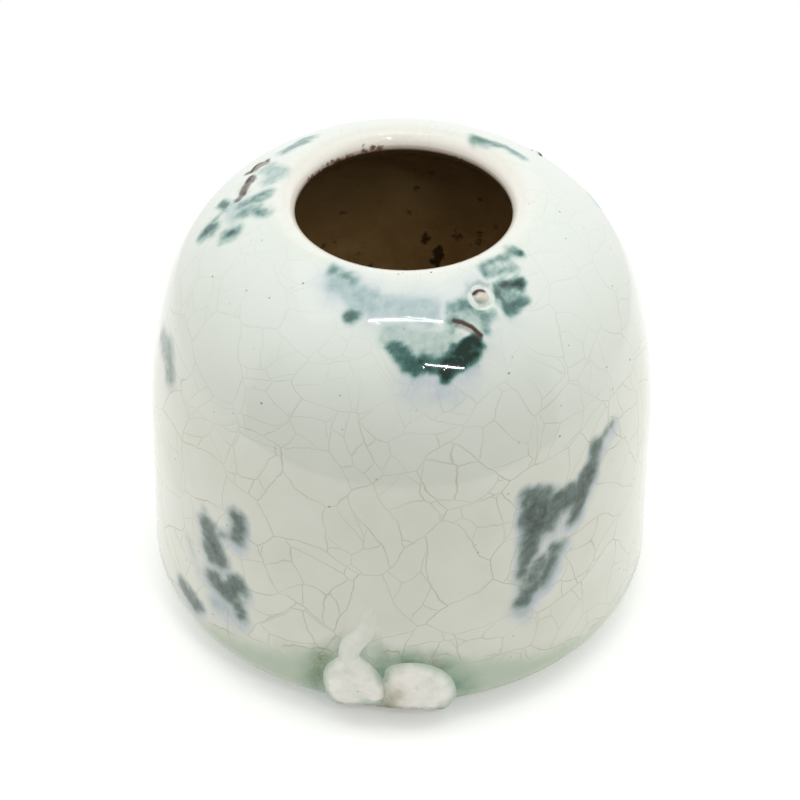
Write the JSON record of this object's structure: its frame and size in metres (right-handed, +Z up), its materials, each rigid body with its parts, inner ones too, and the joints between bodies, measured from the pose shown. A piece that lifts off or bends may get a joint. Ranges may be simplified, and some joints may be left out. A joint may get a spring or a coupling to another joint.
{
  "type": "water coupe",
  "caption": "Small domed porcelain water pot with a rolled mouth, crackled pale glaze outside and a dark coat inside, on fungus-shaped feet; holds water for an ink stone on a desk.",
  "frame": {"origin": "On the table under the middle of the pot, on its turning axis", "axes": "+Z up along the turning axis, the front foot faces -Y, +X to the right as seen from the front"},
  "size_m": [0.0964, 0.0988, 0.0892],
  "materials": {
    "biscuit": "matte",
    "crackle_glaze": "gloss",
    "brown_coat": "satin",
    "white_relief": "gloss"
  },
  "bodies": {
    "root": {"base_bowl": "biscuit", "shoulder_dome": "biscuit", "mouth_lip": "biscuit", "outer_glaze": "crackle_glaze", "inner_glaze": "brown_coat", "front_foot_left_lobe": "white_relief", "front_foot_right_lobe": "white_relief", "front_foot_stalk": "white_relief", "right_foot_left_lobe": "white_relief", "right_foot_right_lobe": "white_relief", "right_foot_stalk": "white_relief", "left_foot_left_lobe": "white_relief", "left_foot_right_lobe": "white_relief", "left_foot_stalk": "white_relief"}
  },
  "joints": []
}
